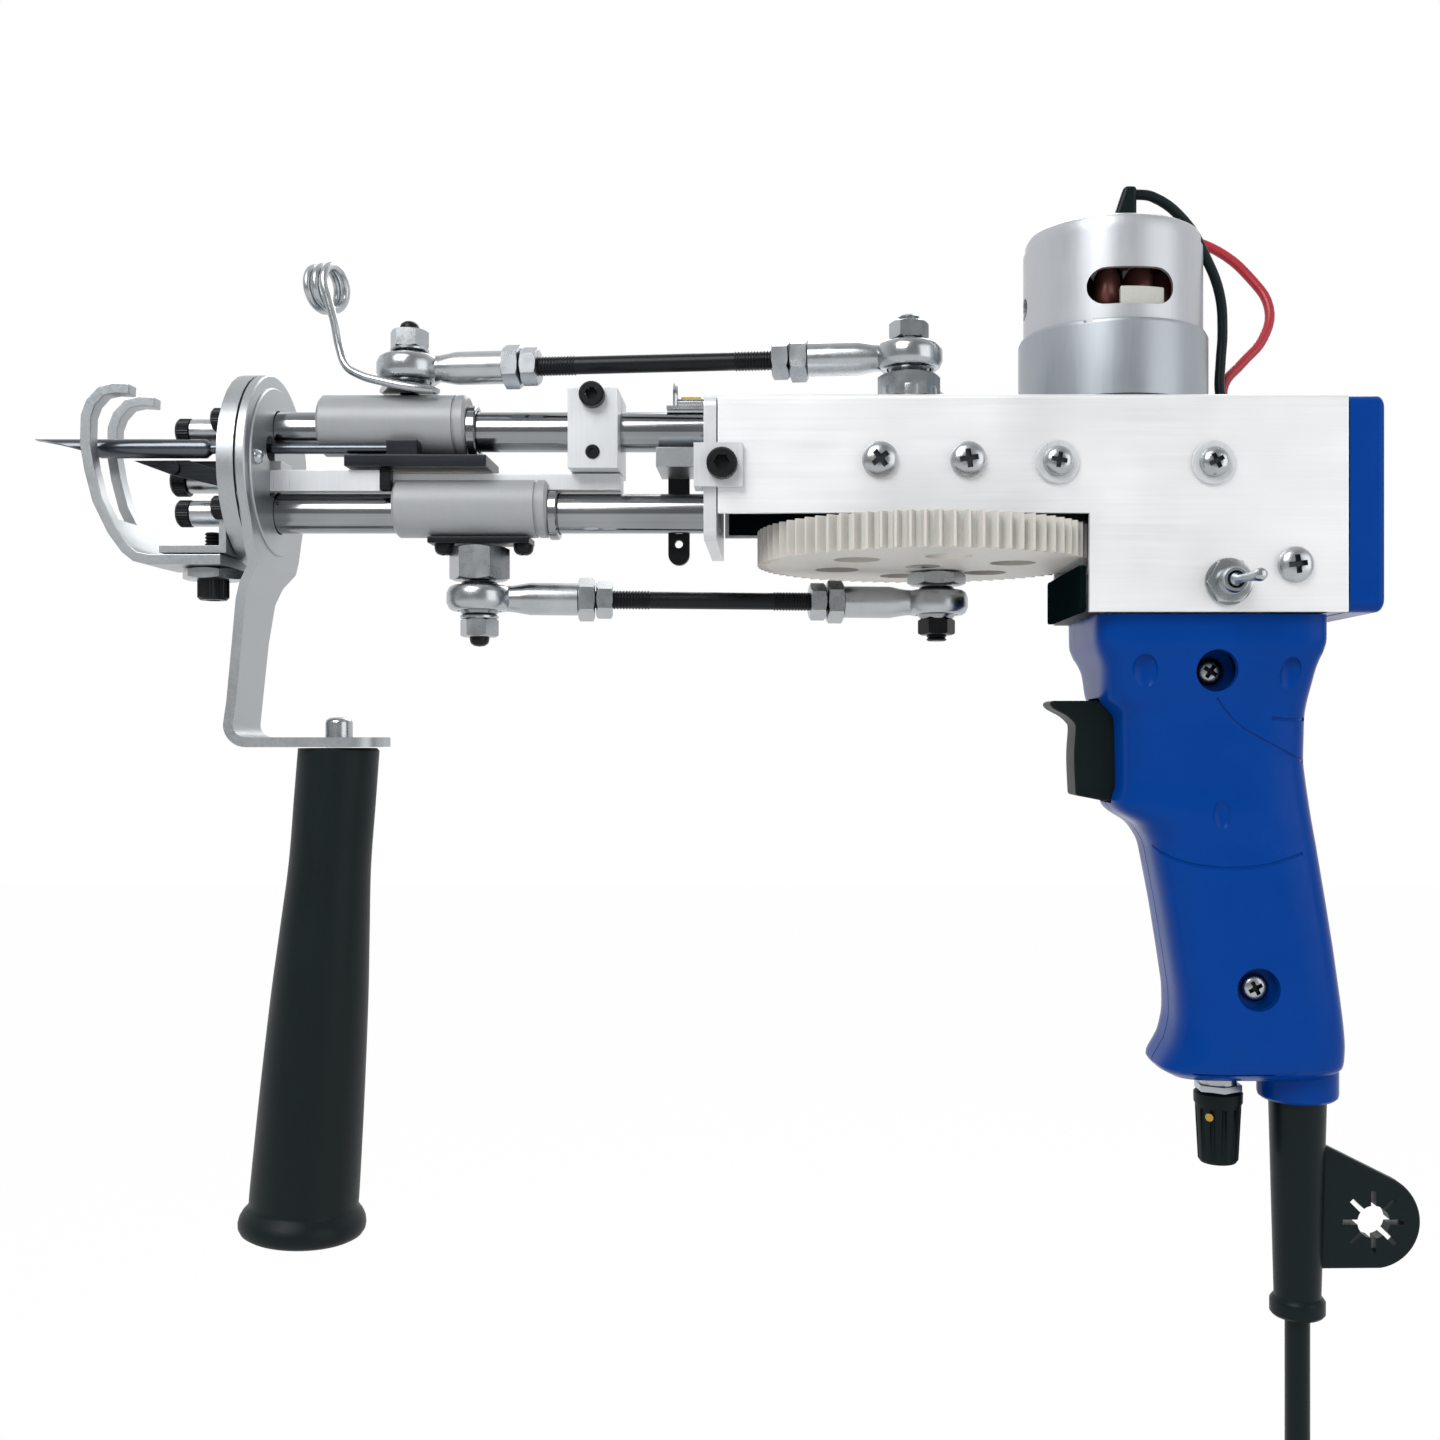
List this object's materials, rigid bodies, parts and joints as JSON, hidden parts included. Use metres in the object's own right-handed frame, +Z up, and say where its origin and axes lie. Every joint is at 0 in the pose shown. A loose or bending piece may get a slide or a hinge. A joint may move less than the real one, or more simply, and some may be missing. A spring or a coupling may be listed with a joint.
{
  "type": "handheld tufting machine",
  "caption": "Handheld motor-driven tufting machine with a hollow needle and scissors on crank-driven slides, a pistol grip, a front handle and a hanging lead.",
  "frame": {"origin": "centre of the pistol grip, where the hand closes round it", "axes": "+X towards the rear cap with the needle towards -X, +Y away from the toggle switch's side, +Z up along the motor"},
  "size_m": [0.3387, 0.0804, 0.4636],
  "materials": {
    "brushed_aluminium": "brushed",
    "zinc_steel": "zinc plated",
    "polished_steel": "polished",
    "black_steel": "black oxide",
    "white_nylon": "matte",
    "grey_pom": "satin",
    "blue_plastic": "glossy",
    "black_rubber": "matte",
    "black_plastic": "satin",
    "motor_paint": "satin metallic",
    "rotor_copper": "enamelled wire",
    "red_insulation": "satin"
  },
  "bodies": {
    "frame": {"housing_channel": "brushed_aluminium", "rear_cap": "blue_plastic", "front_end_plate": "zinc_steel", "angle_clip": "zinc_steel", "upper_guide_rod": "polished_steel", "lower_guide_rod": "polished_steel", "front_disc": "zinc_steel", "handle_bracket": "zinc_steel", "front_handle": "black_rubber", "presser_foot": "zinc_steel", "foot_bracket": "zinc_steel", "foot_bolt": "black_steel", "anti_rotation_bar": "brushed_aluminium", "clamp_block": "brushed_aluminium", "wire_bracket": "black_steel", "rear_eyelet": "zinc_steel", "motor_can": "motor_paint", "flux_ring": "motor_paint", "motor_end_bell": "motor_paint", "motor_mount_plate": "zinc_steel", "bearing_block": "black_plastic", "upper_bearing": "polished_steel", "lower_bearing": "polished_steel", "grip_shell_near": "blue_plastic", "grip_shell_far": "blue_plastic", "trigger_switch": "black_plastic", "speed_potentiometer": "zinc_steel", "toggle_switch": "zinc_steel", "cord_guard": "black_rubber", "cord_drop": "black_rubber", "cord_hank": "black_rubber", "cord_tie": "black_rubber", "power_socket": "black_plastic", "motor_lead_black": "black_rubber", "motor_lead_red": "red_insulation"},
    "crank": {"crank_shaft": "zinc_steel", "drive_gear": "white_nylon", "upper_crank_arm": "zinc_steel", "lower_crank_pin": "zinc_steel"},
    "motor_rotor": {"motor_armature": "rotor_copper", "motor_pinion": "zinc_steel"},
    "needle_slide": {"upper_slider_sleeve": "grey_pom", "needle_carrier": "black_steel", "needle": "polished_steel", "upper_slider_pin": "zinc_steel", "yarn_eye": "zinc_steel"},
    "scissor_slide": {"lower_slider_sleeve": "grey_pom", "scissor_carrier": "black_steel", "lower_slider_pin": "zinc_steel", "fixed_blade": "polished_steel"},
    "cutting_blade": {"moving_blade": "polished_steel"},
    "upper_conrod": {"upper_conrod_front_eye": "zinc_steel", "upper_conrod_rear_eye": "zinc_steel", "upper_conrod_rod": "black_steel"},
    "lower_conrod": {"lower_conrod_front_eye": "zinc_steel", "lower_conrod_rear_eye": "zinc_steel", "lower_conrod_rod": "black_steel"},
    "trigger_piece": {"trigger": "black_plastic"},
    "speed_dial": {"speed_knob": "black_plastic"},
    "power_toggle": {"toggle_lever": "zinc_steel"}
  },
  "joints": [
    {"name": "crank_turn", "type": "hinge", "parent": "frame", "child": "crank", "pos_m": [-0.074, 0, 0], "axis": [0, 0, 1], "range_deg": [-70, 110]},
    {"name": "rotor_spin", "type": "hinge", "parent": "frame", "child": "motor_rotor", "pos_m": [-0.0285, 0, 0], "axis": [0, 0, 1], "range_deg": [-661, 661]},
    {"name": "needle_travel", "type": "slide", "parent": "frame", "child": "needle_slide", "axis": [1, 0, 0], "range_m": [-0.0102, 0.016]},
    {"name": "scissor_travel", "type": "slide", "parent": "frame", "child": "scissor_slide", "axis": [1, 0, 0], "range_m": [-0.016, 0.0102]},
    {"name": "blade_close", "type": "hinge", "parent": "scissor_slide", "child": "cutting_blade", "pos_m": [-0.252, 0, 0.091], "axis": [0, 1, 0], "range_deg": [-3.6, 5.6]},
    {"name": "upper_conrod_swing", "type": "hinge", "parent": "needle_slide", "child": "upper_conrod", "pos_m": [-0.1976, 0, 0.1157], "axis": [0, 0, 1], "range_deg": [-0.4, 5.9]},
    {"name": "lower_conrod_swing", "type": "hinge", "parent": "scissor_slide", "child": "lower_conrod", "pos_m": [-0.1808, 0, 0.0606], "axis": [0, 0, -1], "range_deg": [-0.4, 6.3]},
    {"name": "trigger_pull", "type": "slide", "parent": "frame", "child": "trigger_piece", "axis": [1, 0, 0], "range_m": [0, 0.005], "stiffness_N_per_m": 700, "springref_m": -0.002},
    {"name": "speed_turn", "type": "hinge", "parent": "frame", "child": "speed_dial", "pos_m": [-0.003, 0, -0.065], "axis": [0, 0, -1], "range_deg": [0, 300]},
    {"name": "toggle_flip", "type": "hinge", "parent": "frame", "child": "power_toggle", "pos_m": [-0.0073, -0.0283, 0.0623], "axis": [0, 0, -1], "range_deg": [0, 22]}
  ],
  "couplings": [
    {"joint": "rotor_spin", "follows": "crank_turn", "ratio": -6},
    {"joint": "needle_travel", "follows": "crank_turn", "m_per_rad": 0.008276},
    {"joint": "scissor_travel", "follows": "crank_turn", "m_per_rad": -0.008276},
    {"joint": "blade_close", "follows": "crank_turn", "ratio": 0.05}
  ]
}
